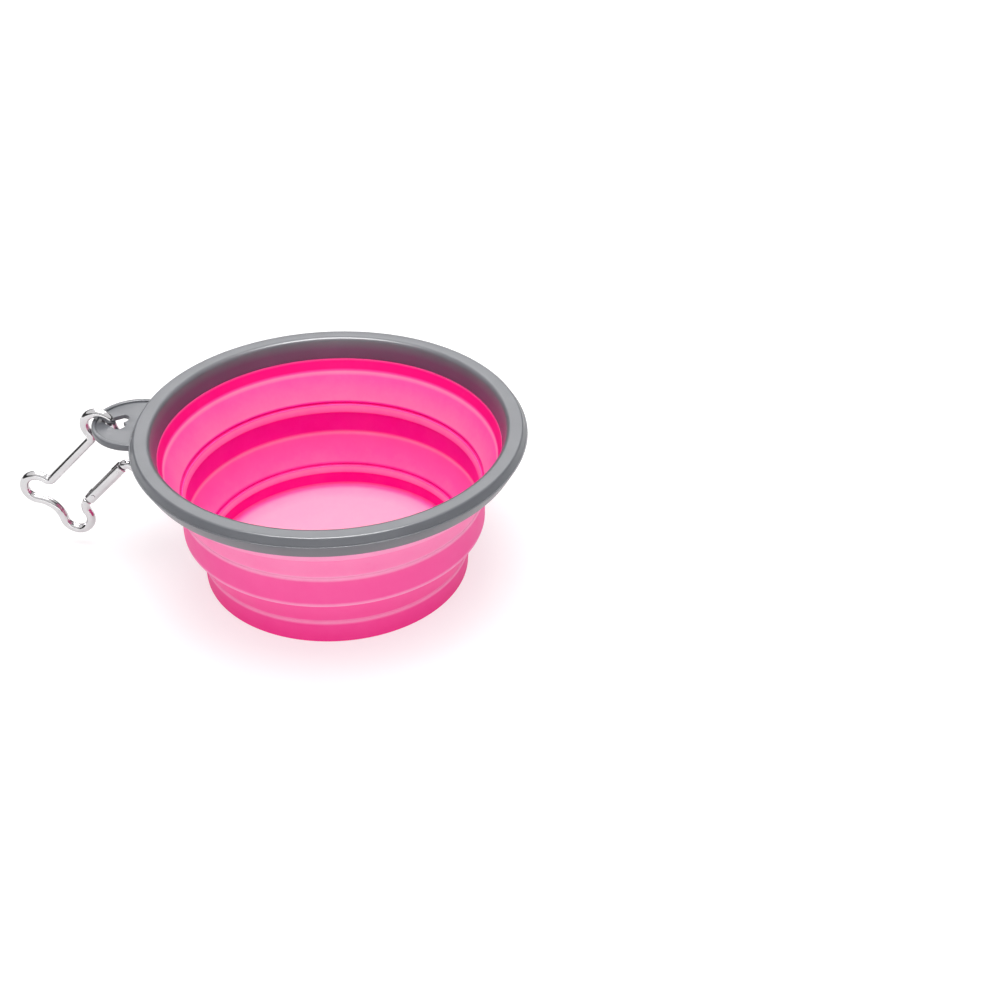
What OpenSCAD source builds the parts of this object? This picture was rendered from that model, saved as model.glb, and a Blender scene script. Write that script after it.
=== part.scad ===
// Collapsible bowl: a folding silicone wall, a two piece rim with a hang tab, and a bone shaped carabiner.
// Millimetres, +Z up. The origin is on the bowl's axis, on the surface that it stands on.
// The hang tab points along -X and the carabiner hangs from it in the XZ plane.

/* [Bowl] */
// Height of the open bowl
bowl_h = 55.6; // [48:0.2:70]
// Diameter over the rim's cap, at the seam
rim_d = 130.8; // [122:0.2:150]
// How far each ring of the wall steps in from the one above
fold_step = 5.55; // [4.5:0.05:6.8]
// Thickness of the floor
floor_t = 2.2; // [1.4:0.1:3.5]

/* [Folding wall] */
// Height of the base ring's outside
base_ring_h = 8.8; // [7:0.1:11]
// Height of the middle ring's outside
middle_ring_h = 11.4; // [8:0.1:14]
// Depth of the collar below the rim
collar_h = 6.3; // [5.4:0.1:8.5]
// Wall of the base ring
base_wall_t = 1.7; // [1.4:0.05:2.2]
// Wall of the middle ring and the collar
ring_wall_t = 1.3; // [1.1:0.05:1.8]
// Thickness of the two folding webs
fold_t = 1.25; // [0.9:0.05:1.6]
// Share of the folding height that the lower web takes
lower_fold_share = 0.488; // [0.4:0.002:0.6]

/* [Rim] */
// Height of the rim's outside
rim_h = 8; // [7.2:0.1:9.6]
// How far the rim's outside leans in, from the seam to its low edge
rim_taper = 3; // [1.6:0.1:3.4]
// Height of the cap's outside, above the seam
cap_h = 2.45; // [2.2:0.05:3]
// Depth of the cap's inner wall
lip_h = 7.45; // [7:0.05:9]
// Width of the cap, from its mouth to its outside
rim_top_w = 6.4; // [5.8:0.1:7.4]
// How far the cap's outside leans in, from the seam to its top
brow_in = 1.2; // [0.6:0.1:1.5]
// Thickness of the cap
cap_t = 1.6; // [1.3:0.05:1.8]

/* [Hang tab] */
// Radius of the tab's rounded outline
tab_r = 15; // [13:0.2:18]
// Depth of the tab's underside below the top of the rim
tab_drop = 5.8; // [5.2:0.1:6.6]
// Thickness of the tab's plate
tab_t = 1.6; // [1.2:0.1:1.9]
// Width of the heart shaped hole
heart_w = 9.1; // [7.5:0.1:9.6]
// Length of the heart shaped hole
heart_l = 8.7; // [8:0.1:9.5]
// Width of the strip that the carabiner hangs on
strip_w = 2.9; // [2.2:0.1:3.2]

/* [Carabiner] */
// Diameter of the bent wire
wire_d = 3.2; // [2.6:0.1:3.4]
// Overall length of the bone
bone_l = 50; // [46:0.5:64]
// Overall width of the bone
bone_w = 30; // [29:0.5:36]
// Radius of the wire's centre line round a lobe
lobe_r = 4.9; // [4.8:0.1:5.2]
// How far the ends dip in between their lobes
end_dip = 2.9; // [2.2:0.1:3.6]
// Diameter of the gate
gate_d = 4.2; // [3.8:0.1:4.6]
// Angle of the bone's long side above level, as it hangs
hang_tilt = 46.9; // [40:0.5:52]

/* [Hidden] */
$fn = 120;
// Straight steps in one rounded corner of a profile
corner_steps = 5;
// Greatest share of a side that one rounded corner may take
corner_share = 0.7;
// How far a cutting shape runs past what it cuts
overrun = 1;

// Silicone wall
// Slope of the base ring's outside
base_draft = 0.5;
// Rounding of the bowl's bottom edge
foot_round = 0.6;
// Rounding of the floor's inner edge
floor_round = 0.8;
// Width of the ledge on top of a ring
ledge_w = 0.6;
// Width of the ledge under a ring
under_w = 0.9;
// Rise of the ledge on top of a ring
ledge_rise = 0.35;
// Rounding of a ring's upper outer edge
ridge_round = 0.45;
// Rounding of a ring's lower outer edge
under_round = 0.65;
// Rounding where a web meets a ledge
hinge_round = 0.3;
// Rounding of the inner crest above a web
crest_round = 0.8;
// How far the bead inside a ring stands proud of the web
bead_proud = 0.25;
// Length of the bead's top face
bead_l = 1.6;
// Rounding of the bead into the ring's wall
bead_round = 4.5;
// Rounding of the bead's upper edge
bead_edge_round = 0.25;
// Depth of the hinge groove above the bead
groove_d = 0.4;
// Width of the hinge groove
groove_w = 0.9;
// Rounding of the groove's bottom
groove_round = 0.15;
// Web left on the ring beside a hinge groove
stub_l = 0.6;
// Gap between a web and the ring that moves away from it
fold_gap = 0.25;

// Rim
// How far the collar's outside lies inside the rim
collar_inset = 8.4;
// How far the inner lip lies inside the rim
lip_inset = 8.2;
// How far the frame stands proud of the cap
frame_proud = 0.5;
// Rounding of the cap's inner top edge
mouth_round = 1;
// Rounding of the cap's outer top edge
brow_round = 0.6;
// Rounding of the cap's and the frame's outer edges at the seam and below
rim_edge_round = 0.25;
// Height of the open seam between cap and frame
seam_h = 0.1;
// Clearance between the rim's pieces and the flange
rim_fit = 0.05;
// Thickness of the frame's floor
frame_t = 1.6;
// Thickness of the frame's upstand inside the cap
upstand_t = 1.4;
// Thickness of the flange's leg
flange_t = 1;
// Height over which the collar flares into the flange
flare_h = 3;

// Hang tab
// How far the tab's centre lies outside the rim
tab_out = 0.6;
// Width of the raised border
border_w = 1.5;
// Share of the room under the seam that the raised border takes
border_share = 0.77;
// Rounding of the border's edges
border_round = 0.5;
// Height of the plate's underside above the border's
plate_lift = 0.3;
// Rounding of the heart's tip
heart_tip_round = 0.7;
// Share of the heart's width that one lobe's diameter takes
heart_lobe_share = 0.54;
// Straight steps round one lobe of the heart
heart_steps = 12;

// Carabiner
// Distance of the spine and the gate from the bone's middle
waist = 7;
// Radius of the wire's centre line at the spine's and the nose's bends
bend_r = 2;
// Radius of the wire's centre line at the hinge's bend
hinge_bend_r = 4;
// Room between the wire's lobe and the strip that it hangs on
hang_fit = 0.3;
// Thickness of the wire's flattened ends
tongue_t = 1.4;
// Width of the wire's flattened ends
tongue_w = 2.7;
// How far the flattened ends run into the round wire
tongue_root = 0.6;
// Clearance of the flattened ends in the gate's slots
slot_fit = 0.15;
// Place of the rivet, as a share of the straight side
pivot_share = 0.1946;
// Share of the straight side that the gate takes beyond the rivet
tail_share = 0.139;
// Share of the straight side that the nose takes
nose_share = 0.18;
// Place of the latch pin, as a share of the nose
latch_share = 0.36;
// Gap between the gate and the round wire at the nose
nose_gap = 0.6;
// Diameter of the rivet
rivet_d = 1.5;
// How far the rivet's ends stand proud of the gate
rivet_proud = 0.25;
// Diameter of the latch pin
latch_d = 0.9;
// Running clearance on the radius of the rivet
pivot_fit = 0.05;
// Clearance on the radius of the pins in the gate's holes
pin_fit = 0.02;
// Clearance round the latch pin in the nose's hook
hook_fit = 0.2;
// Depth of a slot beyond what turns in it
slot_clear = 0.25;
// Rounding of the gate's ends
gate_round = 0.4;
// Diameter of the spring's bore in the gate
bore_d = 2.7;
// Share of the gate between its slots that the spring's bore takes
spring_share = 0.65;
// Diameter of the spring's wire
spring_wire_d = 0.4;
// Clearance of the spring in its bore
spring_fit = 0.25;
// Turns of the spring
spring_turns = 6;
// Rings of points in one turn of the spring
spring_rings = 8;
// Sides of the spring's wire
spring_sides = 6;
// Steps along the wire at a lobe
lobe_steps = 14;
// Steps along the wire at a waist bend
bend_steps = 5;
// Steps along the wire at half an end's dip
dip_steps = 3;
// Sides of the bent wire
wire_sides = 12;

// Radii and levels that the pieces share
rim_r = rim_d / 2;
collar_r = rim_r - collar_inset;
middle_r = collar_r - fold_step;
base_r = middle_r - fold_step;
frame_r = rim_r + frame_proud;
rim_z = bowl_h - rim_h;
seam_z = bowl_h - cap_h;
lip_z = bowl_h - lip_h;
roof_z = bowl_h - cap_t;
collar_z = rim_z - collar_h;
fold_room = collar_z - base_ring_h - middle_ring_h;
middle_z = base_ring_h + fold_room * lower_fold_share;
middle_top_z = middle_z + middle_ring_h;

// Ends of the two webs, on their outer face
lower_start = [base_r - ledge_w, base_ring_h + ledge_rise];
lower_end = [middle_r - under_w, middle_z];
upper_start = [middle_r - ledge_w, middle_top_z + ledge_rise];
upper_end = [collar_r - under_w, collar_z];

function unit(v) = v / norm(v);
function outward(d) = [d.y, -d.x];

// Points on an arc, from its start to the end of its turn
function arc_points(centre, radius, start, turn, steps) =
  [for (i = [0 : steps]) centre + radius * [cos(start + turn * i / steps), sin(start + turn * i / steps)]];

// Arc that rounds the corner b between the points a and c
function corner_arc(a, b, c, radius) =
  let (u = unit(a - b))
  let (w = unit(c - b))
  let (half = acos(u * w) / 2)
  let (limit = min(norm(a - b), norm(c - b)) * corner_share * tan(half))
  let (r = min(radius, limit))
  let (centre = b + unit(u + w) * r / sin(half))
  let (from = b + u * r / tan(half) - centre)
  let (to = b + w * r / tan(half) - centre)
  let (start = atan2(from.y, from.x))
  let (turn = (atan2(to.y, to.x) - start + 540) % 360 - 180)
  arc_points(centre, r, start, turn, corner_steps);

// Outline whose corners [r, z, rounding] are rounded where a rounding is given
function rounded(corners) =
  let (n = len(corners))
  let (p = [for (c = corners) [c.x, c.y]])
  [for (i = [0 : n - 1])
    each corners[i].z > 0
      ? corner_arc(p[(i + n - 1) % n], p[i], p[(i + 1) % n], corners[i].z)
      : [p[i]]];

function with_round(p, radius) = [p.x, p.y, radius];

// Where the line through p along d meets the radius r
function at_radius(p, d, r) = p + d * (r - p.x) / d.x;

// Upper end of a ring, from its outer ridge over the hinge groove and the bead to its inner wall
function ring_top(r, z, wall, start, end) =
  let (d = unit(end - start))
  let (n = outward(d))
  let (inner = at_radius(start - n * (fold_t + bead_proud), d, r - wall))
  let (bead = inner + d * bead_l)
  let (groove = bead + d * groove_w / 2 + n * (bead_proud + groove_d))
  let (web = bead + d * groove_w + n * bead_proud)
  let (stub = web + d * stub_l)
  [[r, z, ridge_round], with_round(start, hinge_round),
   with_round(stub + n * fold_t, 0), with_round(stub, 0), with_round(web, 0),
   with_round(groove, groove_round), with_round(bead, bead_edge_round), with_round(inner, bead_round)];

// Distance along a web from its start to the end of the stub on the ring below
function stub_reach(r, wall, start, end) =
  let (d = unit(end - start))
  let (n = outward(d))
  let (inner = at_radius(start - n * (fold_t + bead_proud), d, r - wall))
  (inner - start) * d + bead_l + groove_w + stub_l;

// Lower end of a ring, from its inner crest over the stub of the web to its outer edge
function ring_bottom(r, z, wall, start, end) =
  let (d = unit(end - start))
  let (n = outward(d))
  let (crest = at_radius(end - n * fold_t, d, r - wall))
  let (stub = end - d * stub_l)
  [with_round(crest, crest_round), with_round(stub - n * fold_t, 0), with_round(stub, 0),
   with_round(end, hinge_round), [r, z, under_round]];

// Flat strip of the web between the stubs of two rings
function web_strip(r, wall, start, end) =
  let (d = unit(end - start))
  let (n = outward(d))
  let (low = start + d * stub_reach(r, wall, start, end))
  let (high = end - d * (stub_l + fold_gap))
  [low, high, high - n * fold_t, low - n * fold_t];

module turned(outline) {
  rotate_extrude($fn = 180) polygon(outline);
}

// Silicone moulding

module silicone() {
  color([0.95, 0.36, 0.62]) children();
}

module base_cup() {
  wall_r = base_r - base_wall_t;
  silicone() turned(rounded(concat(
    [[0, 0, 0], [base_r - base_draft, 0, foot_round]],
    ring_top(base_r, base_ring_h, base_wall_t, lower_start, lower_end),
    [[wall_r, floor_t, floor_round], [0, floor_t, 0]])));
}

module lower_fold() {
  silicone() turned(web_strip(base_r, base_wall_t, lower_start, lower_end));
}

module middle_ring() {
  silicone() turned(rounded(concat(
    ring_bottom(middle_r, middle_z, ring_wall_t, lower_start, lower_end),
    ring_top(middle_r, middle_top_z, ring_wall_t, upper_start, upper_end))));
}

module upper_fold() {
  silicone() turned(web_strip(middle_r, ring_wall_t, upper_start, upper_end));
}

// Outer face of the cap's inner wall at the height z, which the flange lies against
lip_r = rim_r - lip_inset;
mouth_r = rim_r - rim_top_w;
lip_slope = (mouth_r - lip_r) / lip_h;
function lip_back(z) = lip_r + cap_t + (z - lip_z) * lip_slope;

// Outer radius of the flange's leg, and of the bead on its top
leg_r = lip_back(rim_z + frame_t) + flange_t;
upstand_r = rim_r - cap_t - rim_fit - upstand_t;

module collar_ring() {
  flange_z = rim_z + frame_t + rim_fit;
  crown_z = roof_z - rim_fit;
  silicone() turned(rounded(concat(
    ring_bottom(collar_r, collar_z, ring_wall_t, upper_start, upper_end),
    [[collar_r + (rim_z - flare_h - collar_z) * lip_slope, rim_z - flare_h, flare_h],
     [leg_r - rim_fit, rim_z, 0],
     [leg_r - rim_fit, flange_z, 0],
     [upstand_r - rim_fit, flange_z, ridge_round],
     [upstand_r - rim_fit, crown_z, ridge_round],
     [lip_back(crown_z) + rim_fit, crown_z, 0],
     [lip_back(lip_z) + rim_fit, lip_z - rim_fit, 0],
     [lip_r, lip_z - rim_fit, 0]])));
}

// Rim

module grey_plastic() {
  color([0.5, 0.5, 0.53]) children();
}

module rim_cap() {
  skirt_r = rim_r - cap_t;
  grey_plastic() turned(rounded([
    [lip_r, lip_z, 0],
    [mouth_r, bowl_h, mouth_round],
    [rim_r - brow_in, bowl_h, brow_round],
    [rim_r, seam_z, rim_edge_round],
    [skirt_r, seam_z, 0],
    [skirt_r, roof_z, 0],
    [lip_back(roof_z), roof_z, 0],
    [lip_back(lip_z), lip_z, 0]]));
}

// Tab: its centre, its edge and the heart's tip, as distances from the bowl's axis
tab_x = rim_r + tab_out;
tab_edge = tab_x + tab_r;
heart_tip = tab_edge - strip_w;
heart_lobe_r = heart_w * heart_lobe_share / 2;
heart_lobe_y = heart_w / 2 - heart_lobe_r;
heart_lobe_x = heart_tip - heart_l + heart_lobe_r;
tab_z = bowl_h - tab_drop;
band_z = seam_z - seam_h;
border_h = (band_z - tab_z) * border_share;
border_top_z = tab_z + border_h;

// Outline of the heart: its tip towards the tab's edge, its notch towards the bowl
module heart() {
  tip = [heart_tip - heart_tip_round, 0];
  lobe = [heart_lobe_x, heart_lobe_y];
  run = lobe - tip;
  // Direction, seen from a centre, of the point where the straight side leaves both arcs
  side = atan2(run.y, run.x) - acos((heart_lobe_r - heart_tip_round) / norm(run));
  notch = 180 + asin(heart_lobe_y / heart_lobe_r);
  half = concat(arc_points(tip, heart_tip_round, 0, side, corner_steps),
                arc_points(lobe, heart_lobe_r, side, notch - side, heart_steps));
  other = [for (i = [len(half) - 2 : -1 : 1]) [half[i].x, -half[i].y]];
  polygon(concat(half, other));
}

module tab_border() {
  turned(rounded([
    [tab_r - border_w, 0, border_round],
    [tab_r, 0, border_round],
    [tab_r, border_h, border_round],
    [tab_r - border_w, border_h, border_round]]));
}

module rim_frame() {
  upstand_out = upstand_r + upstand_t;
  floor_z = rim_z + frame_t;
  grey_plastic() {
    turned(rounded([
      [leg_r, rim_z, 0],
      [frame_r - rim_taper, rim_z, rim_edge_round],
      [frame_r, band_z, rim_edge_round],
      [upstand_out, band_z, 0],
      [upstand_out, roof_z - rim_fit, 0],
      [upstand_r, roof_z - rim_fit, 0],
      [upstand_r, floor_z, 0],
      [leg_r, floor_z, 0]]));
    difference() {
      translate([-tab_x, 0, tab_z]) {
        tab_border();
        translate([0, 0, plate_lift]) cylinder(r = tab_r - border_w / 2, h = tab_t);
      }
      translate([0, 0, tab_z - overrun])
        cylinder(r = upstand_out, h = border_h + 2 * overrun, $fn = 180);
      translate([0, 0, tab_z - overrun]) linear_extrude(border_h + 2 * overrun) rotate(180) heart();
    }
  }
}

// Carabiner, drawn flat with its long side along X, its spine at +Y and its gate at -Y

lobe_x = bone_l / 2 - lobe_r - wire_d / 2;
lobe_y = bone_w / 2 - lobe_r - wire_d / 2;
// Arc of the dipped ends, which touches both lobes of an end
dip_in = lobe_r - end_dip;
dip_r = (pow(dip_in, 2) + pow(lobe_y, 2) - pow(lobe_r, 2)) / (2 * end_dip);
dip_x = lobe_x + dip_in + dip_r;
dip_turn = atan2(lobe_y, dip_x - lobe_x);
// Where a waist bend, which touches a lobe and the spine's or the gate's line, meets that line
function bend_start(r) = lobe_x - sqrt(pow(lobe_r + r, 2) - pow(waist + r - lobe_y, 2));
// Places along the gate's line, from the hinge's bend to the nose's
hinge_x = -bend_start(hinge_bend_r);
nose_end = bend_start(bend_r);
side_l = nose_end - hinge_x;
pivot_in = side_l * pivot_share;
pivot_x = hinge_x + pivot_in;
gate_start = pivot_x - side_l * tail_share;
gate_end = nose_end - nose_gap;
nose_l = side_l * nose_share;
nose_x = nose_end - nose_l;
latch_x = nose_x + nose_l * latch_share;
tongue_r = tongue_w / 2;
pivot_slot_end = pivot_x + tongue_r + slot_clear;
nose_slot_end = nose_x - slot_clear;
slot_w = tongue_t + 2 * slot_fit;
bore_l = (nose_slot_end - pivot_slot_end) * spring_share;

// The lobe's centre lies under the strip, so that the wire just clears the strip's upper corners
hang_x = -(tab_edge - strip_w / 2);
hang_reach = lobe_r - wire_d / 2 - hang_fit;
hang_z = border_top_z - sqrt(pow(hang_reach, 2) - pow(strip_w / 2, 2));

module hung() {
  translate([hang_x, 0, hang_z]) rotate([0, -hang_tilt, 0])
    translate([-lobe_x, 0, -lobe_y]) rotate([90, 0, 0]) children();
}

module chrome() {
  color([0.78, 0.78, 0.8]) children();
}

// Tube through rings of points, each ring with the same count of points
module tube(rings) {
  n = len(rings[0]);
  last = len(rings) - 1;
  sides = [for (i = [0 : last - 1]) for (k = [0 : n - 1])
    each [[i * n + k, i * n + (k + 1) % n, (i + 1) * n + k],
          [i * n + (k + 1) % n, (i + 1) * n + (k + 1) % n, (i + 1) * n + k]]];
  first_end = [for (k = [1 : n - 2]) [0, k + 1, k]];
  last_end = [for (k = [1 : n - 2]) [last * n, last * n + k, last * n + k + 1]];
  polyhedron([for (ring = rings) each ring], concat(sides, first_end, last_end));
}

function without_first(points) = [for (i = [1 : len(points) - 1]) points[i]];
function reversed(points) = [for (i = [len(points) - 1 : -1 : 0]) points[i]];
function mirrored(points, x, y) = [for (p = points) [p.x * x, p.y * y]];

// Centre line of a quarter of the wire, from a waist bend of radius r to the middle of an end's dip
function wire_quarter(r) =
  let (x = bend_start(r))
  let (turn = atan2(waist + r - lobe_y, lobe_x - x))
  concat(
    arc_points([x, waist + r], r, 270, 90 - turn, bend_steps),
    without_first(arc_points([lobe_x, lobe_y], lobe_r, 180 - turn, turn - dip_turn - 180, lobe_steps)),
    without_first(arc_points([dip_x, 0], dip_r, 180 - dip_turn, dip_turn, dip_steps)));

// Centre line of the whole wire, from the hinge round the low end, the spine and the high end to the nose
spine_quarter = wire_quarter(bend_r);
wire_path = concat(
  mirrored(wire_quarter(hinge_bend_r), -1, -1),
  without_first(reversed(mirrored(spine_quarter, -1, 1))),
  spine_quarter,
  without_first(reversed(mirrored(spine_quarter, 1, -1))));

// Ring of points round the wire at the place i of its path
function wire_ring(i) =
  let (before = wire_path[max(i - 1, 0)])
  let (after = wire_path[min(i + 1, len(wire_path) - 1)])
  let (across = i == 0 || i == len(wire_path) - 1 ? [0, 1] : outward(unit(after - before)))
  let (turn = cross(after - before, across) < 0 ? 1 : -1)
  [for (k = [0 : wire_sides - 1])
    let (a = turn * 360 * (k + 0.5) / wire_sides)
    [wire_path[i].x, wire_path[i].y, 0] + wire_d / 2 * [across.x * cos(a), across.y * cos(a), sin(a)]];

// Flattened end of the wire, as thick as the slots take
module tongue(length) {
  translate([0, -tongue_r, -tongue_t / 2]) cube([length, tongue_w, tongue_t]);
}

module hinge_tongue() {
  difference() {
    union() {
      translate([hinge_x - tongue_root, -waist, 0]) tongue(pivot_in + tongue_root);
      translate([pivot_x, -waist, -tongue_t / 2]) cylinder(r = tongue_r, h = tongue_t, $fn = 48);
    }
    translate([pivot_x, -waist, -tongue_t])
      cylinder(d = rivet_d + 2 * pivot_fit, h = 2 * tongue_t, $fn = 48);
  }
}

// Nose of the frame, with the open hook that holds the latch pin
module nose() {
  hook_d = latch_d + 2 * hook_fit;
  difference() {
    translate([nose_x, -waist, 0]) tongue(nose_l + tongue_root);
    translate([latch_x, -waist, -tongue_t]) cylinder(d = hook_d, h = 2 * tongue_t, $fn = 48);
    translate([latch_x - hook_d / 2, -waist, -tongue_t]) cube([hook_d, tongue_w, 2 * tongue_t]);
  }
}

module carabiner_frame() {
  chrome() hung() {
    tube([for (i = [0 : len(wire_path) - 1]) wire_ring(i)]);
    hinge_tongue();
    nose();
  }
}

module carabiner_gate() {
  length = gate_end - gate_start;
  r = gate_d / 2;
  chrome() hung() difference() {
    translate([gate_start, -waist, 0]) rotate([0, 90, 0]) rotate_extrude($fn = 64)
      polygon(rounded([[0, 0, 0], [r, 0, gate_round], [r, length, gate_round], [0, length, 0]]));
    translate([gate_start - overrun, -waist - gate_d, -slot_w / 2])
      cube([pivot_slot_end - gate_start + overrun, 2 * gate_d, slot_w]);
    translate([nose_slot_end, -waist - gate_d, -slot_w / 2])
      cube([gate_end - nose_slot_end + overrun, 2 * gate_d, slot_w]);
    translate([pivot_slot_end - overrun, -waist, 0]) rotate([0, 90, 0])
      cylinder(d = bore_d, h = bore_l + overrun, $fn = 48);
    translate([pivot_x, -waist, -gate_d]) cylinder(d = rivet_d + 2 * pin_fit, h = 2 * gate_d, $fn = 48);
    translate([latch_x, -waist, -gate_d]) cylinder(d = latch_d + 2 * pin_fit, h = 2 * gate_d, $fn = 48);
  }
}

module hinge_rivet() {
  reach = gate_d / 2 + rivet_proud;
  shank = rivet_d / 2;
  chrome() hung() translate([pivot_x, -waist, 0])
    rotate_extrude($fn = 48) polygon([[0, -reach], [shank, -reach], [shank, reach], [0, reach]]);
}

module latch_pin() {
  chrome() hung() translate([latch_x, -waist, -gate_d / 2]) cylinder(d = latch_d, h = gate_d, $fn = 48);
}

// Spring: one tube wound along the gate's bore
spring_r = (bore_d - spring_wire_d) / 2 - spring_fit;
spring_x = pivot_slot_end + spring_fit + spring_wire_d / 2;
spring_rise = bore_l - spring_wire_d - 2 * spring_fit;
spring_count = spring_turns * spring_rings;
spring_path = [for (i = [0 : spring_count])
  let (turn = 360 * i / spring_rings)
  [spring_x + spring_rise * i / spring_count, spring_r * cos(turn), spring_r * sin(turn)]];
spring_gap = min([for (i = [0 : spring_count]) for (j = [i + spring_rings / 2 : spring_count])
  norm(spring_path[i] - spring_path[j])]) - spring_wire_d;
echo(spring_least_gap = spring_gap);

// Ring of points round the spring's wire at the place i of its path
function spring_ring(i) =
  let (turn = 360 * i / spring_rings)
  let (out = [0, cos(turn), sin(turn)])
  [for (k = [0 : spring_sides - 1])
    let (a = 360 * k / spring_sides)
    spring_path[i] + spring_wire_d / 2 * (out * cos(a) + [1, 0, 0] * sin(a))];

module gate_spring() {
  chrome() hung() translate([0, -waist, 0]) tube([for (i = [0 : spring_count]) spring_ring(i)]);
}

base_cup();
lower_fold();
middle_ring();
upper_fold();
collar_ring();
rim_cap();
rim_frame();
carabiner_frame();
carabiner_gate();
hinge_rivet();
latch_pin();
gate_spring();
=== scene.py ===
import math

import bmesh
import bpy
import numpy as np
from mathutils import Matrix, Vector


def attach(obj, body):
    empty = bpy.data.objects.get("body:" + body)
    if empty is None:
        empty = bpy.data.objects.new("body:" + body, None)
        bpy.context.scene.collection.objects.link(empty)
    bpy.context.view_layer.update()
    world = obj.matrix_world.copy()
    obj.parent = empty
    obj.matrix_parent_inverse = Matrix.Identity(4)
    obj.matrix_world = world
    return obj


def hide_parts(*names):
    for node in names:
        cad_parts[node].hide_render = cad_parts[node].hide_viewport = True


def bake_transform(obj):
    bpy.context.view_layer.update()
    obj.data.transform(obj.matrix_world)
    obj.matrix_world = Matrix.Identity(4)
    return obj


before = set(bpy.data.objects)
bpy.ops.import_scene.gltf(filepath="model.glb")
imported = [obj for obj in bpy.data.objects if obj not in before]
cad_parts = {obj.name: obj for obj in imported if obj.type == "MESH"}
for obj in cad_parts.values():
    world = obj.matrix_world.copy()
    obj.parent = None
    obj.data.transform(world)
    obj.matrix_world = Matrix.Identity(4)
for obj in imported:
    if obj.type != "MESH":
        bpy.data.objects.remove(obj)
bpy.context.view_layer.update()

MM = 0.001
scene = bpy.context.scene

# Sizes of the part, in millimetres
BOWL_H = 55.6
RIM_R, FRAME_R, FRAME_LOW_R = 65.4, 65.9, 62.9
BASE_R, MIDDLE_R, COLLAR_R = 45.9, 51.45, 57.0
BASE_WALL, RING_WALL, FOLD_T = 1.7, 1.3, 1.25
RIM_Z, CAP_LOW_Z, BAND_Z, LIP_Z, ROOF_Z = 47.6, 53.07, 53.05, 48.15, 54.0
COLLAR_Z, BASE_TOP_Z = 41.3, 8.8
MIDDLE_Z, MIDDLE_TOP_Z = 19.097, 30.497
FLOOR_T, FLOOR_ROUND = 2.2, 0.8
FOOT_IN, FOOT_ROUND = 0.5, 0.6
CAP_T, LEG_T, UPSTAND_T, FRAME_FLOOR_T = 1.6, 1.0, 1.4, 1.6
SEAT = 0.05
LIP_R, MOUTH_R = 57.2, 59.0
LEDGE_W, LEDGE_RISE, UNDER_W = 0.2, 0.25, 0.9
RIDGE_ROUND, UNDER_ROUND, LEDGE_ROUND, HINGE_ROUND = 0.45, 0.65, 0.5, 0.3
BEAD_PROUD, BEAD_L, BEAD_ROUND = 0.25, 0.8, 0.15
GROOVE_W, GROOVE_D, GROOVE_ROUND = 1.0, 0.4, 0.15
NOSE_OUT, NOSE_RISE, NOSE_ROUND, WALL_ROUND = 0.5, 0.45, 0.3, 0.2
BASE_DROP, MIDDLE_DROP = 1.6, 1.9
CREST_ROUND, FLARE = 0.8, 3.0
TAB_X, TAB_Z, TAB_R, TAB_EDGE = 66.0, 49.8, 15.0, 81.0
WIRE_R = 1.6


# Profiles in (radius, height), with rounded corners

# Most of a side that the rounding of a corner takes up
CORNER_SHARE = 0.7


def unit(v):
    return v / np.linalg.norm(v)


def arc(centre, radius, start, turn, steps):
    """Points of an arc, from the angle start through the angle turn."""
    angles = start + turn * np.linspace(0, 1, steps + 1)
    return [np.array(centre) + radius * np.array([math.cos(t), math.sin(t)]) for t in angles]


def corner_arc(a, b, c, radius, steps):
    """Rounding of the corner b between a and c, as large as the radius or as there is room for."""
    u, w = unit(a - b), unit(c - b)
    half = math.acos(max(-1.0, min(1.0, float(u @ w)))) / 2
    room = min(np.linalg.norm(a - b), np.linalg.norm(c - b)) * CORNER_SHARE * math.tan(half)
    r = min(radius, room)
    centre = b + unit(u + w) * r / math.sin(half)
    first = b + u * r / math.tan(half) - centre
    last = b + w * r / math.tan(half) - centre
    start = math.atan2(first[1], first[0])
    turn = (math.atan2(last[1], last[0]) - start + 3 * math.pi) % (2 * math.pi) - math.pi
    return arc(centre, r, start, turn, steps)


def rounded(corners, steps=6):
    """Outline through corners (r, z, rounding, painted light or shade value), rounded and carrying that
    value where these are given.
    """
    points = [np.array(c[:2], float) for c in corners]
    out = []
    for i, c in enumerate(corners):
        bend = [points[i]]
        if len(c) > 2 and c[2] > 0:
            bend = corner_arc(points[i - 1], points[i], points[(i + 1) % len(points)], c[2], steps)
        out += [np.append(p, c[3:4]) for p in bend]
    return out


def make_object(name, verts, faces, material, sharp_deg=38):
    """Smooth object with its faces turned outwards and its sharp edges kept."""
    mesh = bpy.data.meshes.new(name)
    mesh.from_pydata([tuple(v) for v in verts], [], faces)
    mesh.validate()
    shell = bmesh.new()
    shell.from_mesh(mesh)
    bmesh.ops.recalc_face_normals(shell, faces=shell.faces)
    shell.to_mesh(mesh)
    shell.free()
    mesh.polygons.foreach_set("use_smooth", [True] * len(mesh.polygons))
    mesh.set_sharp_from_angle(angle=math.radians(sharp_deg))
    mesh.materials.append(material)
    obj = bpy.data.objects.new(name, mesh)
    scene.collection.objects.link(obj)
    return obj


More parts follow.
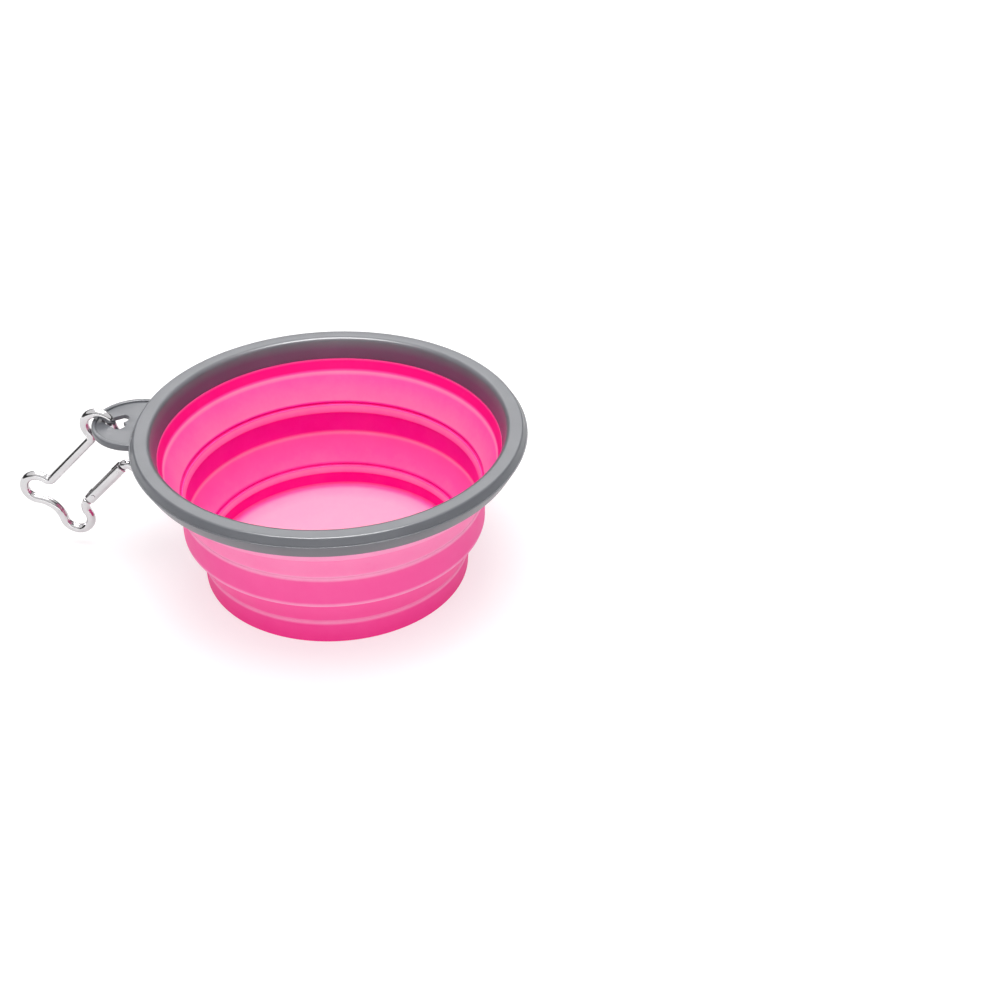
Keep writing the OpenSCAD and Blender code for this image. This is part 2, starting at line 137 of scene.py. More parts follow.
def revolved(outline, segments, centre=(0.0, 0.0), start=0.0, turn=2 * math.pi):
    """Vertices in metres and faces of an outline (r, z) turned about the upright line at centre."""
    whole = abs(turn - 2 * math.pi) < 1e-9
    columns = segments if whole else segments + 1
    n = len(outline)
    verts, faces = [], []
    poles = {i: None for i, p in enumerate(outline) if p[0] < 1e-6}
    index = np.zeros((columns, n), int)
    for k in range(columns):
        a = start + turn * k / segments
        for i, p in enumerate(outline):
            if i in poles and poles[i] is not None:
                index[k, i] = poles[i]
                continue
            x = centre[0] + p[0] * math.cos(a)
            y = centre[1] + p[0] * math.sin(a)
            index[k, i] = len(verts)
            if i in poles:
                poles[i] = len(verts)
            verts.append((x * MM, y * MM, p[1] * MM))
    for k in range(segments):
        m = (k + 1) % columns
        for i in range(n):
            j = (i + 1) % n
            ring = [index[k, i], index[m, i], index[m, j], index[k, j]]
            face = [int(v) for t, v in enumerate(ring) if v not in ring[:t]]
            if len(face) > 2:
                faces.append(face)
    if not whole:
        faces.append([int(v) for v in index[0]])
        faces.append([int(v) for v in index[-1][::-1]])
    return verts, faces


def joined(*parts):
    """One set of vertices and faces from several."""
    verts, faces = [], []
    for v, f in parts:
        faces += [[i + len(verts) for i in face] for face in f]
        verts += v
    return verts, faces


# Materials

def new_material(name):
    m = bpy.data.materials.new(name)
    m.use_nodes = True
    tree = m.node_tree
    return m, tree, tree.nodes["Principled BSDF"]


def noise(tree, scale, detail, vector, roughness=0.5):
    n = tree.nodes.new("ShaderNodeTexNoise")
    n.inputs["Scale"].default_value = scale
    n.inputs["Detail"].default_value = detail
    n.inputs["Roughness"].default_value = roughness
    tree.links.new(vector, n.inputs["Vector"])
    return n.outputs["Fac"]


def ramp(tree, value, low, high, at=(0.35, 0.65)):
    r = tree.nodes.new("ShaderNodeValToRGB")
    r.color_ramp.elements[0].position, r.color_ramp.elements[1].position = at
    r.color_ramp.elements[0].color = (*low, 1)
    r.color_ramp.elements[1].color = (*high, 1)
    tree.links.new(value, r.inputs["Fac"])
    return r.outputs["Color"]


def remap(tree, value, low, high):
    r = tree.nodes.new("ShaderNodeMapRange")
    r.inputs["To Min"].default_value = low
    r.inputs["To Max"].default_value = high
    tree.links.new(value, r.inputs["Value"])
    return r.outputs["Result"]


def bumped(tree, shader, height, distance, strength):
    """Bump on the shader's normal."""
    b = tree.nodes.new("ShaderNodeBump")
    b.inputs["Distance"].default_value = distance
    b.inputs["Strength"].default_value = strength
    tree.links.new(height, b.inputs["Height"])
    tree.links.new(b.outputs["Normal"], shader.inputs["Normal"])


def attribute(tree, name):
    n = tree.nodes.new("ShaderNodeAttribute")
    n.attribute_name = name
    return n.outputs["Fac"]


def mixed(tree, share, first, second):
    """The first colour, with that share of the second."""
    mix = tree.nodes.new("ShaderNodeMix")
    mix.data_type = "RGBA"
    tree.links.new(share, mix.inputs["Factor"])
    for name, colour in (("A", first), ("B", second)):
        tree.links.new(colour, next(i for i in mix.inputs if i.type == "RGBA" and i.name == name))
    return next(o for o in mix.outputs if o.type == "RGBA")


def coordinates(tree):
    return tree.nodes.new("ShaderNodeTexCoord").outputs["Object"]


# Pinks of the painted light and shade, from the deepest painted shade to the palest painted light, and the
# two stops between these. The inside's pinks are deeper and redder: painted pink light bounced within the
# bowl.
OUTER_PINKS = (0.94, 0.002, 0.24), (0.94, 0.02, 0.26), (0.98, 0.12, 0.385), (0.99, 0.46, 0.67)
INNER_PINKS = (0.82, 0.0, 0.21), (0.90, 0.0, 0.36), (0.98, 0.115, 0.45), (0.99, 0.44, 0.59)
PINK_TONES = 0.1, 0.5


def silicone_material():
    """Pink silicone with painted light and shade: paler on ridges, crests, beads and the floor, where light
    falls on or shines through it, deeper in its grooves and on upright inner walls, where shade falls.
    """
    m, tree, shader = new_material("silicone_pink")
    where = coordinates(tree)
    # Painted light and shade from the outline, clouded at random by a noise
    clouded = tree.nodes.new("ShaderNodeMath")
    clouded.operation = "ADD"
    tree.links.new(attribute(tree, "tone"), clouded.inputs[0])
    tree.links.new(remap(tree, noise(tree, 60, 6, where, 0.8), -0.1, 0.1), clouded.inputs[1])
    sides = []
    for colours in (OUTER_PINKS, INNER_PINKS):
        shades = tree.nodes.new("ShaderNodeValToRGB")
        stops = shades.color_ramp.elements
        for tone in PINK_TONES:
            stops.new(tone)
        for stop, colour in zip(stops, colours):
            stop.color = (*colour, 1)
        tree.links.new(clouded.outputs[0], shades.inputs["Fac"])
        sides.append(shades.outputs["Color"])
    # Inside of the wall in deeper, redder pinks: painted pink bounce light from the silicone within the bowl
    tree.links.new(mixed(tree, attribute(tree, "inside"), *sides), shader.inputs["Base Color"])
    tree.links.new(remap(tree, noise(tree, 160, 4, where), 0.42, 0.56), shader.inputs["Roughness"])
    shader.inputs["IOR"].default_value = 1.41
    shader.inputs["Specular IOR Level"].default_value = 0.15
    bumped(tree, shader, noise(tree, 2600, 2, where), distance=0.00002, strength=0.35)
    return m


def plastic_material():
    """Grey plastic, with painted pink bounce light from the silicone on the lip beside it."""
    m, tree, shader = new_material("rim_grey_plastic")
    where = coordinates(tree)
    cloud = noise(tree, 70, 3, where)
    grey = ramp(tree, cloud, (0.120, 0.125, 0.139), (0.134, 0.139, 0.154))
    # Pink of the lip: painted pink bounce light from the silicone
    pink = ramp(tree, cloud, (0.130, 0.065, 0.113), (0.142, 0.071, 0.125))
    tree.links.new(mixed(tree, attribute(tree, "glow"), grey, pink), shader.inputs["Base Color"])
    tree.links.new(remap(tree, noise(tree, 260, 4, where), 0.29, 0.38), shader.inputs["Roughness"])
    shader.inputs["IOR"].default_value = 1.49
    shader.inputs["Specular IOR Level"].default_value = 0.36
    bumped(tree, shader, noise(tree, 1500, 3, where), distance=0.00001, strength=0.15)
    return m


def metal_material(name, cloud, colours, gloss, roughness, grain, distance, strength):
    """Metal with a clouded colour, an uneven gloss and a faint grain, each from a noise of that scale."""
    m, tree, shader = new_material(name)
    where = coordinates(tree)
    tree.links.new(ramp(tree, noise(tree, cloud, 3, where), *colours), shader.inputs["Base Color"])
    shader.inputs["Metallic"].default_value = 1.0
    tree.links.new(remap(tree, noise(tree, gloss, 4, where), *roughness), shader.inputs["Roughness"])
    bumped(tree, shader, noise(tree, *grain, where), distance, strength)
    return m


silicone, plastic = silicone_material(), plastic_material()
chrome = metal_material("clip_chrome_plate", cloud=120, colours=((0.53, 0.52, 0.53), (0.61, 0.60, 0.61)),
                        gloss=700, roughness=(0.09, 0.17), grain=(420, 3), distance=0.00002, strength=0.25)
steel = metal_material("spring_steel_wire", cloud=300, colours=((0.45, 0.45, 0.47), (0.58, 0.58, 0.60)),
                       gloss=900, roughness=(0.25, 0.4), grain=(2200, 2), distance=0.00001, strength=0.4)


# Silicone: the folding wall as two smooth mouldings that meet on the middle ring

def hinge(r, wall, start, end, drop):
    """Inside of a ring's upper end: web's foot, hinge groove, and the bead's top, nose and underside."""
    d = unit(end - start)
    n = np.array([d[1], -d[0]])
    base = start - n * (FOLD_T + BEAD_PROUD)
    inner = base + d * (r - wall - base[0]) / d[0]
    bead = inner + d * BEAD_L
    groove = bead + d * GROOVE_W / 2 + n * (BEAD_PROUD + GROOVE_D)
    web = bead + d * GROOVE_W + n * BEAD_PROUD
    return web, groove, bead, inner - (NOSE_OUT, drop), inner - (0, drop + NOSE_RISE)


def crest(r, wall, start, end):
    """Inner corner where a web runs into the ring above it."""
    d = unit(end - start)
    n = np.array([d[1], -d[0]])
    base = end - n * FOLD_T
    return base + d * (r - wall - base[0]) / d[0]


def short_of(p, q, gap):
    """Point on the way from p to q, the gap before q."""
    return np.array(q) - unit(np.array(q) - np.array(p)) * gap


lower_start = np.array([BASE_R - LEDGE_W, BASE_TOP_Z + LEDGE_RISE])
lower_end = np.array([MIDDLE_R - UNDER_W, MIDDLE_Z])
upper_start = np.array([MIDDLE_R - LEDGE_W, MIDDLE_TOP_Z + LEDGE_RISE])
upper_end = np.array([COLLAR_R - UNDER_W, COLLAR_Z])
LIP_SLOPE = (MOUTH_R - LIP_R) / (BOWL_H - LIP_Z)
FRAME_FLOOR_Z = RIM_Z + FRAME_FLOOR_T
LEG_R = LIP_R + CAP_T + (FRAME_FLOOR_Z - LIP_Z) * LIP_SLOPE + LEG_T
UPSTAND_R = RIM_R - CAP_T - SEAT - UPSTAND_T
FLANGE_R = UPSTAND_R - SEAT
FLARE_Z = RIM_Z - FLARE


def lip_back(z):
    """Radius of the back of the rim's inner lip."""
    return LIP_R + CAP_T + (z - LIP_Z) * LIP_SLOPE


foot = (BASE_R - FOOT_IN, 0)
base_ridge = (BASE_R, BASE_TOP_Z)
base_in = BASE_R - BASE_WALL
middle_in = MIDDLE_R - RING_WALL
base_foot, base_groove, base_bead, base_nose, base_wall = hinge(
    BASE_R, BASE_WALL, lower_start, lower_end, BASE_DROP)
middle_foot, middle_groove, middle_bead, middle_nose, middle_wall = hinge(
    MIDDLE_R, RING_WALL, upper_start, upper_end, MIDDLE_DROP)
middle_crest = crest(MIDDLE_R, RING_WALL, lower_start, lower_end)
collar_crest = crest(COLLAR_R, RING_WALL, upper_start, upper_end)
lip_end = (LIP_R, LIP_Z - SEAT)

# How far the painted light and shade reach from a corner: along the webs, by the crests, in the grooves, on
# the beads, from the three ridges outside, up the wall and over the floor inside, and below the lip
WEB_FADE, CREST_FADE, CREST_NEAR = 1.2, 1.3, 0.8
GROOVE_FADE, BEAD_FADE = 0.3, 0.8
BASE_FADE, BASE_NEAR = 1.6, 0.8
UNDER_FADE, UNDER_NEAR = 1.8, 0.9
TOP_FADE, TOP_NEAR = 1.5, 0.6
CORNER_FADE, FLOOR_NEAR, FLOOR_FADE = 1.2, 3, 9
LIP_FADE, COLLAR_FADE = 0.9, 1.4

# Corners as (radius, height, rounding, painted shading). The painted shading goes from 0, the deepest
# painted shade of upright inner walls and grooves, to 1, the palest painted light on ridges. The mouldings
# meet in the hinge groove on top of the middle ring, where the line between them hardly shows.
lower_outline = [
    (0, 0, 0, 0.3), (*foot, FOOT_ROUND, 0.2), (*short_of(foot, base_ridge, BASE_FADE), 0, 0.28),
    (*short_of(foot, base_ridge, BASE_NEAR), 0, 0.66), (*base_ridge, RIDGE_ROUND, 0.72),
    (*lower_start, LEDGE_ROUND, 0.64), (*short_of(lower_end, lower_start, WEB_FADE), 0, 0.36),
    (*short_of(lower_start, lower_end, WEB_FADE), 0, 0.4), (*lower_end, HINGE_ROUND, 0.6),
    (MIDDLE_R, MIDDLE_Z, UNDER_ROUND, 0.82), (MIDDLE_R, MIDDLE_Z + UNDER_NEAR, 0, 0.76),
    (MIDDLE_R, MIDDLE_Z + UNDER_FADE, 0, 0.45), (MIDDLE_R, MIDDLE_TOP_Z - TOP_FADE, 0, 0.47),
    (MIDDLE_R, MIDDLE_TOP_Z - TOP_NEAR, 0, 0.8), (MIDDLE_R, MIDDLE_TOP_Z, RIDGE_ROUND, 0.84),
    (*upper_start, 0, 0.9), (*middle_groove, 0, 0.05),
    (*short_of(middle_groove, middle_bead, GROOVE_FADE), 0, 0.0), (*middle_bead, BEAD_ROUND, 0.5),
    (*short_of(middle_nose, middle_bead, BEAD_FADE), 0, 0.68), (*middle_nose, NOSE_ROUND, 0.5),
    (*middle_wall, WALL_ROUND, 0.11), (middle_in, middle_crest[1] + CREST_FADE, 0, 0.11),
    (*middle_crest, CREST_ROUND, 0.72), (*short_of(base_foot, middle_crest, CREST_FADE), 0, 0.44),
    (*short_of(middle_crest, base_foot, CREST_NEAR), 0, 0.56), (*base_foot, GROOVE_ROUND, 0.2),
    (*base_groove, GROOVE_ROUND, 0.05), (*short_of(base_groove, base_bead, GROOVE_FADE), 0, 0.0),
    (*base_bead, BEAD_ROUND, 0.5), (*short_of(base_nose, base_bead, BEAD_FADE), 0, 0.7),
    (*base_nose, NOSE_ROUND, 0.54), (*base_wall, WALL_ROUND, 0.11),
    (base_in, FLOOR_T + CORNER_FADE, 0, 0.11), (base_in, FLOOR_T, FLOOR_ROUND, 0.45),
    (base_in - FLOOR_NEAR, FLOOR_T, 0, 0.82), (base_in - FLOOR_FADE, FLOOR_T, 0, 0.96), (0, FLOOR_T, 0, 1.0)]
FLANGE_ROUND = 0.5
upper_outline = [
    (*upper_start, 0, 0.9), (*short_of(upper_end, upper_start, WEB_FADE), 0, 0.66),
    (*short_of(upper_start, upper_end, WEB_FADE), 0, 0.66), (*upper_end, HINGE_ROUND, 0.5),
    (COLLAR_R, COLLAR_Z, UNDER_ROUND, 0.8),
    (COLLAR_R + (FLARE_Z - COLLAR_Z) * LIP_SLOPE, FLARE_Z, FLARE, 0.86),
    (LEG_R - SEAT, RIM_Z, 0, 0.86), (LEG_R - SEAT, FRAME_FLOOR_Z + SEAT, 0, 0.5),
    (FLANGE_R, FRAME_FLOOR_Z + SEAT, FLANGE_ROUND, 0.5), (FLANGE_R, ROOF_Z - SEAT, FLANGE_ROUND, 0.5),
    (lip_back(ROOF_Z) + SEAT, ROOF_Z - SEAT, 0, 0.5), (lip_back(LIP_Z) + SEAT, LIP_Z - SEAT, 0, 0.5),
    (*lip_end, 0, 0.4), (*short_of(collar_crest, lip_end, LIP_FADE), 0, 0.0),
    (*short_of(lip_end, collar_crest, COLLAR_FADE), 0, 0.0), (*collar_crest, CREST_ROUND, 0.8),
    (*short_of(middle_foot, collar_crest, CREST_FADE), 0, 0.5),
    (*short_of(collar_crest, middle_foot, CREST_NEAR), 0, 0.66), (*middle_foot, GROOVE_ROUND, 0.05),
    (*middle_groove, 0, 0.05)]

SEGMENTS, BORDER_SEGMENTS = 240, 96
BEND_STEP = 0.9
# Heights that mark each moulding's web
LOWER_BEND, UPPER_BEND = (11.4, 19.2), (33.0, 41.5)
# Heights, and the radius there that parts the wall's inside from its outside
WALL_MIDDLE = (0, 8.8, 19.1, 30.5, 44.2, 45.0), (45.0, 45.0, 50.2, 50.2, 56.4, 50.0)


def stepped(points):
    """Outline in steps no longer than BEND_STEP."""
    out = []
    for i, p in enumerate(points):
        q = points[(i + 1) % len(points)]
        count = math.ceil(np.linalg.norm((q - p)[:2]) / BEND_STEP)
        out += [p + (q - p) * k / count for k in range(count)]
    return out


def marked(piece, points, **values):
    """Values of a turned outline's points, as attributes of the piece."""
    for label, value in values.items():
        column = [(value(p), p[0] > 1e-6) for p in points]
        data = [v for k in range(SEGMENTS) for v, turns in column if k == 0 or turns]
        piece.data.attributes.new(label, "FLOAT", "POINT").data.foreach_set("value", data)


def wall_piece(name, outline, nodes, bodies, start_z, end_z):
    """Silicone moulding turned from the outline, in place of the CAD nodes that it hides."""
    points = stepped(rounded(outline, 7))
    piece = make_object(name, *revolved(points, SEGMENTS), silicone)
    # Painted light and shade of each point, and whether the point is on the wall's inside
    marked(piece, points, tone=lambda p: p[2],
           inside=lambda p: float(p[0] < np.interp(p[1], *WALL_MIDDLE)))
    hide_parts(*nodes)
    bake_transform(piece)


wall_piece("silicone_base_wall", lower_outline, ["base_cup", "lower_fold", "middle_ring"],
           ("base", "middle"), *LOWER_BEND)
wall_piece("silicone_top_wall", upper_outline, ["upper_fold", "collar_ring"],
           ("middle", "rim"), *UPPER_BEND)


# Rim: the cap, and the frame with its hang tab

# Corners of the cap as (radius, height, rounding, share of painted pink bounce light), which fades out at
# the mouth
PAINTED_BOUNCE_Z, BROW_W = 51.4, 1.2
LIP_ROUND, MOUTH_ROUND, BROW_ROUND = 0.25, 1.9, 0.9
CAP_EDGE_ROUND, CAP_INNER_ROUND = 0.06, 0.1
cap_outline = rounded([
    (LIP_R, LIP_Z, LIP_ROUND, 1), (lip_back(PAINTED_BOUNCE_Z) - CAP_T, PAINTED_BOUNCE_Z, 0, 1),
    (MOUTH_R, BOWL_H, MOUTH_ROUND, 0), (RIM_R - BROW_W, BOWL_H, BROW_ROUND, 0),
    (RIM_R, CAP_LOW_Z, CAP_EDGE_ROUND, 0), (RIM_R - CAP_T, CAP_LOW_Z, CAP_INNER_ROUND, 0),
    (RIM_R - CAP_T, ROOF_Z, 0, 0), (lip_back(ROOF_Z), ROOF_Z, 0, 0),
    (lip_back(LIP_Z), LIP_Z, LIP_ROUND, 1)], 8)
cap = make_object("rim_cap_moulding", *revolved(cap_outline, SEGMENTS), plastic)
# Share of painted pink bounce light on the lip
marked(cap, cap_outline, glow=lambda p: p[2])
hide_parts("rim_cap")
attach(cap, "rim")

LEG_ROUND, FRAME_ROUND, BAND_ROUND = 0.2, 0.25, 0.15
band_outline = rounded([
    (LEG_R, RIM_Z, LEG_ROUND), (FRAME_LOW_R, RIM_Z, FRAME_ROUND), (FRAME_R, BAND_Z, BAND_ROUND),
    (UPSTAND_R + UPSTAND_T, BAND_Z), (UPSTAND_R + UPSTAND_T, ROOF_Z - SEAT), (UPSTAND_R, ROOF_Z - SEAT),
    (UPSTAND_R, FRAME_FLOOR_Z), (LEG_R, FRAME_FLOOR_Z, LEG_ROUND)], 7)
band = revolved(band_outline, SEGMENTS)

# The tab's border runs round the tab's centre as far as it is outside the rim
BORDER_W, BORDER_H, BORDER_ROUND = 1.5, 2.5025, 0.5
ROOT_OUT = 1.6
ROOT_R = UPSTAND_R + ROOT_OUT
border_reach = math.acos((ROOT_R ** 2 - TAB_X ** 2 - TAB_R ** 2) / (2 * TAB_X * TAB_R))
border_outline = rounded([
    (TAB_R - BORDER_W, TAB_Z, BORDER_ROUND), (TAB_R, TAB_Z, BORDER_ROUND),
    (TAB_R, TAB_Z + BORDER_H, BORDER_ROUND), (TAB_R - BORDER_W, TAB_Z + BORDER_H, BORDER_ROUND)], 6)
border = revolved(border_outline, BORDER_SEGMENTS, (-TAB_X, 0), math.pi - border_reach, 2 * border_reach)

STRIP_W = 2.9
HEART_L, HEART_W, HEART_TIP_ROUND, HEART_LOBE_SHARE = 8.7, 9.1, 0.7, 0.54
HEART_LOBE_R = HEART_W * HEART_LOBE_SHARE / 2
PLATE_T, PLATE_RISE, PLATE_BEVEL = 1.6, 0.3, 0.22
WELD = 0.001


def heart_outline():
    """Heart with its tip towards the tab's edge, in the frame's x and y."""
    tip = np.array([TAB_EDGE - STRIP_W - HEART_TIP_ROUND, 0.0])
    lobe = np.array([TAB_EDGE - STRIP_W - HEART_L + HEART_LOBE_R, HEART_W / 2 - HEART_LOBE_R])
    run = lobe - tip
    lean = math.acos((HEART_LOBE_R - HEART_TIP_ROUND) / np.linalg.norm(run))
    side = math.atan2(run[1], run[0]) - lean
    notch = math.pi + math.asin(lobe[1] / HEART_LOBE_R)
    half = arc(tip, HEART_TIP_ROUND, 0, side, 10) + arc(lobe, HEART_LOBE_R, side, notch - side, 30)
    other = [np.array([p[0], -p[1]]) for p in half[-2:0:-1]]
    return [np.array([-p[0], p[1]]) for p in half + other]


def plate_outline():
    """Tab's plate, from the middle of its border to its root on the rim."""
    inner = TAB_R - BORDER_W / 2
    reach = math.acos((ROOT_R ** 2 - TAB_X ** 2 - inner ** 2) / (2 * TAB_X * inner))
    edge = arc((-TAB_X, 0), inner, math.pi - reach, 2 * reach, 60)
    end = math.atan2(edge[-1][1], edge[-1][0])
    root = arc((0, 0), ROOT_R, end, 2 * (-math.pi - end) if end < 0 else 2 * (math.pi - end), 24)
    return edge + root[1:-1]


def flat_piece(outlines, thickness, bevel, place):
    """Flat sheet inside the first outline and outside the others, edges eased, points put by place."""
    curve = bpy.data.curves.new("flat_piece", "CURVE")
    curve.dimensions = "2D"
    curve.fill_mode = "BOTH"
    curve.extrude = (thickness / 2 - bevel) * MM
    curve.bevel_depth = bevel * MM
    curve.bevel_resolution = 3
    curve.offset = -bevel * MM
    for outline in outlines:
        spline = curve.splines.new("POLY")
        spline.points.add(len(outline) - 1)
        for point, p in zip(spline.points, outline):
            point.co = (p[0] * MM, p[1] * MM, 0, 1)
        spline.use_cyclic_u = True
    obj = bpy.data.objects.new("flat_piece", curve)
    scene.collection.objects.link(obj)
    bpy.context.view_layer.update()
    shell = bmesh.new()
    shell.from_mesh(obj.to_mesh())
    bmesh.ops.remove_doubles(shell, verts=shell.verts, dist=WELD * MM)
    shell.verts.index_update()
    verts = [tuple(place(*(v.co / MM))) for v in shell.verts]
    faces = [[v.index for v in f.verts] for f in shell.faces]
    shell.free()
    obj.to_mesh_clear()
    bpy.data.objects.remove(obj)
    bpy.data.curves.remove(curve)
    return verts, faces


def on_tab(x, y, z):
    """Point of the tab's plate, in metres."""
    return Vector((x, y, TAB_Z + PLATE_RISE + PLATE_T / 2 + z)) * MM


tab_plate = flat_piece([plate_outline(), heart_outline()], PLATE_T, PLATE_BEVEL, on_tab)
rim_frame = make_object("rim_frame_moulding", *joined(band, border, tab_plate), plastic)
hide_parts("rim_frame")
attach(rim_frame, "rim")


# Carabiner: the bent wire, drawn flat as (u, v) and hung on the tab's strip

BONE_L, BONE_W = 50, 30
LOBE_R, WAIST = 4.9, 7.0
BEND_R, HINGE_BEND_R = 2.0, 4.0
LOBE_X, LOBE_Y = BONE_L / 2 - LOBE_R - WIRE_R, BONE_W / 2 - LOBE_R - WIRE_R
DIP_D = 2.9
DIP_IN = LOBE_R - DIP_D
DIP_R = (DIP_IN ** 2 + LOBE_Y ** 2 - LOBE_R ** 2) / (2 * DIP_D)
DIP_X = LOBE_X + DIP_IN + DIP_R
DIP_TURN = math.atan2(LOBE_Y, DIP_X - LOBE_X)
TILT = math.radians(46.9)
HANG = (-79.55, 49.676)


def hung(u, v, w=0.0):
    """Point of the flat drawing in the frame, in metres."""
    a, b = u - LOBE_X, v - LOBE_Y
    x = HANG[0] + a * math.cos(TILT) - b * math.sin(TILT)
    z = HANG[1] + a * math.sin(TILT) + b * math.cos(TILT)
    return Vector((x, -w, z)) * MM


def bend_start(r):
    """Where the straight of the wire runs into a waist bend of radius r."""
    return LOBE_X - math.sqrt((LOBE_R + r) ** 2 - (WAIST + r - LOBE_Y) ** 2)


def wire_quarter(r, mirror_u, mirror_v):
    """Centre line of a quarter of the wire, from a waist bend of radius r to an end's dip."""
    u = bend_start(r)
    turn = math.atan2(WAIST + r - LOBE_Y, LOBE_X - u)
    points = arc((u, WAIST + r), r, 1.5 * math.pi, 0.5 * math.pi - turn, 14)
    points += arc((LOBE_X, LOBE_Y), LOBE_R, math.pi - turn, turn - DIP_TURN - math.pi, 44)[1:]
    points += arc((DIP_X, 0), DIP_R, math.pi - DIP_TURN, DIP_TURN, 10)[1:]
    return [np.array([p[0] * mirror_u, p[1] * mirror_v]) for p in points]


wire_path = wire_quarter(HINGE_BEND_R, -1, -1) + wire_quarter(BEND_R, -1, 1)[-2::-1]
wire_path += wire_quarter(BEND_R, 1, 1) + wire_quarter(BEND_R, 1, -1)[-2::-1]


def wire_rings(path, radius, end_round=0.3):
    """Centre, direction and radius of each ring round the wire, its two ends rounded."""
    rings = [(p, unit(path[i + 2] - path[i]), radius) for i, p in enumerate(path[1:-1])]
    turns = np.linspace(0, math.pi / 2, 5)
    along = np.array([-1.0, 0.0])
    first, last = path[0], path[-1]
    shrink = [(end_round * math.sin(t), radius - end_round * (1 - math.cos(t))) for t in turns]
    start = [(first - along * out, along, r) for out, r in shrink[::-1]]
    end = [(last + along * out, along, r) for out, r in shrink]
    return start + rings + end


def wire_tube(rings, sides=28):
    """Vertices and faces of a closed tube through the rings."""
    verts, faces = [], []
    for p, t, r in rings:
        across = np.array([t[1], -t[0]])
        for k in range(sides):
            a = 2 * math.pi * k / sides
            q = p + across * r * math.cos(a)
            verts.append(tuple(hung(q[0], q[1], r * math.sin(a))))
    for i in range(len(rings) - 1):
        for k in range(sides):
            m = (k + 1) % sides
            faces.append([i * sides + k, i * sides + m, (i + 1) * sides + m, (i + 1) * sides + k])
    faces.append(list(range(sides))[::-1])
    faces.append([(len(rings) - 1) * sides + k for k in range(sides)])
    return verts, faces


HINGE_U, NOSE_END = -bend_start(HINGE_BEND_R), bend_start(BEND_R)
SIDE_L = NOSE_END - HINGE_U
TONGUE_R, TONGUE_T, TONGUE_BEVEL, TONGUE_ROOT = 1.35, 1.4, 0.12, 0.6
PIVOT_SHARE, NOSE_SHARE, LATCH_SHARE = 0.1946, 0.18, 0.36
PIVOT_U = HINGE_U + SIDE_L * PIVOT_SHARE
NOSE_L = SIDE_L * NOSE_SHARE
NOSE_U = NOSE_END - NOSE_L
LATCH_U = NOSE_U + NOSE_L * LATCH_SHARE
HOOK_R, RIVET_HOLE_R = 0.65, 0.8
HIGH, LOW = -WAIST + TONGUE_R, -WAIST - TONGUE_R

hinge_line = [np.array([HINGE_U - TONGUE_ROOT, HIGH]), np.array([HINGE_U - TONGUE_ROOT, LOW])]
hinge_line += arc((PIVOT_U, -WAIST), TONGUE_R, -math.pi / 2, math.pi, 24)
hinge_hole = arc((PIVOT_U, -WAIST), RIVET_HOLE_R, 0, 2 * math.pi, 24)[:-1]
nose_line = [np.array([NOSE_END + TONGUE_ROOT, HIGH]), np.array([LATCH_U + HOOK_R, HIGH])]
nose_line += arc((LATCH_U, -WAIST), HOOK_R, 0, -math.pi, 16)
nose_line += [np.array([LATCH_U - HOOK_R, HIGH]), np.array([NOSE_U, HIGH]), np.array([NOSE_U, LOW]),
              np.array([NOSE_END + TONGUE_ROOT, LOW])]

wire = make_object("clip_wire", *joined(
    wire_tube(wire_rings(wire_path, WIRE_R)),
    flat_piece([hinge_line, hinge_hole], TONGUE_T, TONGUE_BEVEL, hung),
    flat_piece([nose_line], TONGUE_T, TONGUE_BEVEL, hung)), chrome)
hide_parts("carabiner_frame")
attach(wire, "carabiner")

for node, material in (("carabiner_gate", chrome), ("hinge_rivet", chrome), ("latch_pin", chrome),
                       ("gate_spring", steel)):
    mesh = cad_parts[node].data
    mesh.materials.clear()
    mesh.materials.append(material)


# Studio

def background_seen(tree):
    """1 for the rays that show the background: to the camera, in metal and through clear things."""
    path = tree.nodes.new("ShaderNodeLightPath")
    total = path.outputs["Is Camera Ray"]
    for ray in ("Is Glossy Ray", "Is Transmission Ray"):
        add = tree.nodes.new("ShaderNodeMath")
        add.operation = "ADD"
        add.use_clamp = True
        tree.links.new(total, add.inputs[0])
        tree.links.new(path.outputs[ray], add.inputs[1])
        total = add.outputs[0]
    return total


# Light that the floor gives off: as it is seen, near and a metre away, and as it lights the part
FLOOR_SEEN, FLOOR_BOUNCE = (0.59, 0.94), 0.36
# Light of the surroundings as it lights the part, and as it is seen
WORLD_LIGHT = 0.57, 1.0
FLOOR_HALF = 4


def floor_material():
    """White floor on which the contact shadow shows."""
    m, tree, shader = new_material("studio_floor")
    shader.inputs["Base Color"].default_value = (0.5, 0.5, 0.5, 1)
    shader.inputs["Roughness"].default_value = 0.9
    shader.inputs["Specular IOR Level"].default_value = 0.0
    shader.inputs["Emission Color"].default_value = (1, 1, 1, 1)
    # Brighter with distance, where the lamps reach less
    away = tree.nodes.new("ShaderNodeVectorMath")
    away.operation = "LENGTH"
    tree.links.new(coordinates(tree), away.inputs[0])
    seen = remap(tree, away.outputs["Value"], *FLOOR_SEEN)
    strength = tree.nodes.new("ShaderNodeMix")
    tree.links.new(background_seen(tree), strength.inputs["Factor"])
    strength.inputs["A"].default_value = FLOOR_BOUNCE
    tree.links.new(seen, strength.inputs["B"])
    tree.links.new(strength.outputs["Result"], shader.inputs["Emission Strength"])
    return m


def card_material():
    """Dark matt card."""
    m, tree, shader = new_material("studio_card")
    shader.inputs["Base Color"].default_value = (0.05, 0.05, 0.05, 1)
    shader.inputs["Roughness"].default_value = 0.9
    shader.inputs["Specular IOR Level"].default_value = 0.0
    return m


corners = [(x * FLOOR_HALF, y * FLOOR_HALF, 0) for x, y in ((-1, -1), (1, -1), (1, 1), (-1, 1))]
floor = make_object("studio_floor", corners, [[0, 1, 2, 3]], floor_material())


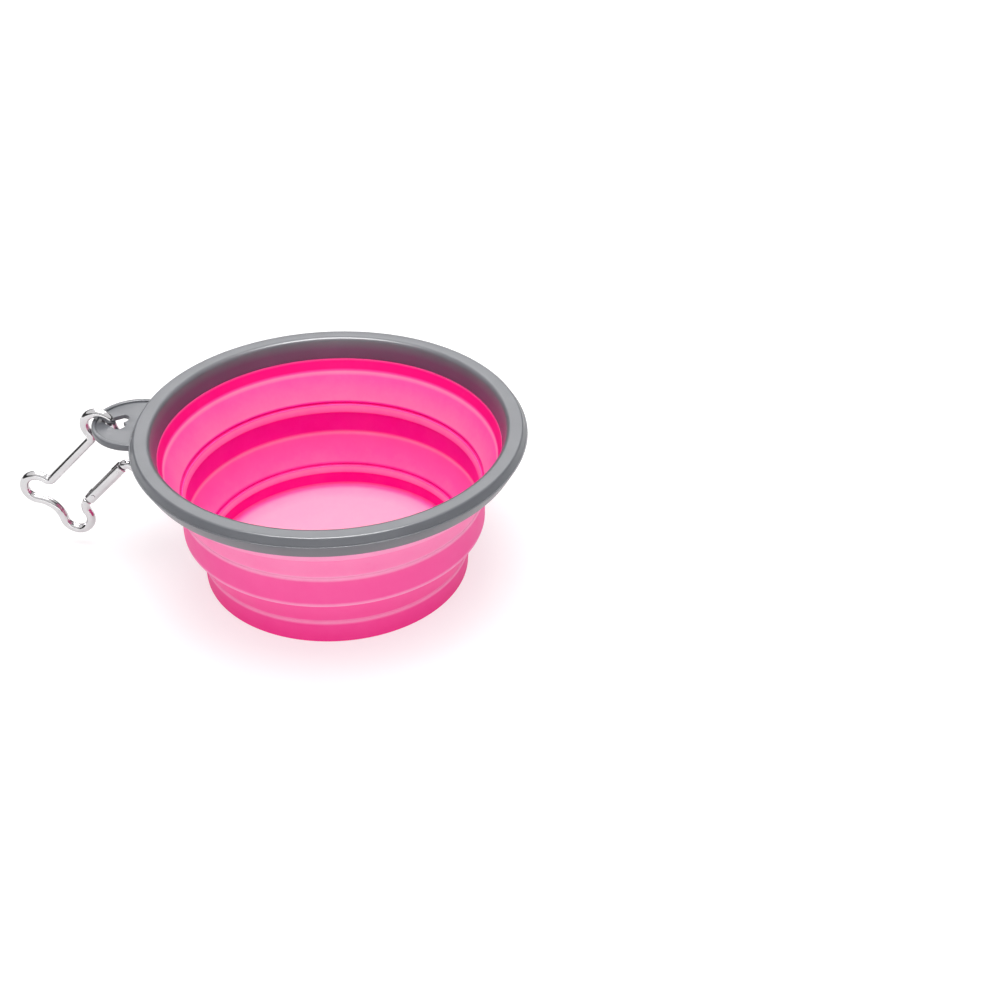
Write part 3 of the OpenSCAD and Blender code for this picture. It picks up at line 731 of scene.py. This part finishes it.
def studio_world():
    """Even white surroundings."""
    world = bpy.data.worlds.new("studio")
    scene.world = world
    world.use_nodes = True
    tree = world.node_tree
    background = tree.nodes["Background"]
    tree.links.new(remap(tree, background_seen(tree), *WORLD_LIGHT), background.inputs["Strength"])
    background.inputs["Color"].default_value = (1, 1, 1, 1)


studio_world()


def dark_card(name, radius, low, high, start_deg, turn_deg, steps=48):
    """Upright dark card round the object, which the camera doesn't see."""
    verts, faces = [], []
    for k in range(steps + 1):
        a = math.radians(start_deg + turn_deg * k / steps)
        verts += [(radius * math.cos(a), radius * math.sin(a), z) for z in (low, high)]
        if k:
            faces.append([2 * k - 2, 2 * k, 2 * k + 1, 2 * k - 1])
    card = make_object(name, verts, faces, card_material())
    card.visible_camera = False
    card.visible_diffuse = False
    card.visible_shadow = False


dark_card("dark_ring", radius=1.6, low=0.05, high=0.75, start_deg=0, turn_deg=360)

AIM = (0, 0, 0.03)


def softbox(name, place, size, power):
    """Rectangular lamp that faces the bowl."""
    light = bpy.data.lights.new(name, "AREA")
    light.shape = "RECTANGLE"
    light.size, light.size_y = size
    light.energy = power
    obj = bpy.data.objects.new(name, light)
    obj.location = place
    obj.rotation_euler = (Vector(AIM) - Vector(place)).to_track_quat("-Z", "Y").to_euler()
    scene.collection.objects.link(obj)
    return obj


softbox("top_softbox", place=(0, 0, 1.4), size=(0.9, 0.9), power=15)
softbox("front_softbox", place=(0.15, -1.3, 0.22), size=(2.8, 0.3), power=5.2)
# These two are seen in the sheen of the surfaces only
for sheen in (softbox("back_sheen", place=(-0.14, 1.2, 0.98), size=(1.3, 0.6), power=12),
              softbox("top_sheen", place=(0, -0.05, 1.4), size=(0.9, 0.2), power=55)):
    sheen.visible_diffuse = False


# Camera: the photograph's view
SENSOR_W, LENS = 36, 60.83
EYE = (0.05659, -0.47513, 0.29717 + BOWL_H * MM)
LOOK_DOWN, ORBIT = math.radians(34.573), math.radians(6.5)
camera_data = bpy.data.cameras.new("photo_camera")
camera_data.sensor_width = SENSOR_W
camera_data.lens = LENS
camera = bpy.data.objects.new("photo_camera", camera_data)
scene.collection.objects.link(camera)
camera.location = Matrix.Rotation(ORBIT, 3, "Z") @ Vector(EYE)
camera.rotation_euler = (math.pi / 2 - LOOK_DOWN, 0, ORBIT)
scene.camera = camera

scene.view_settings.view_transform = "Standard"
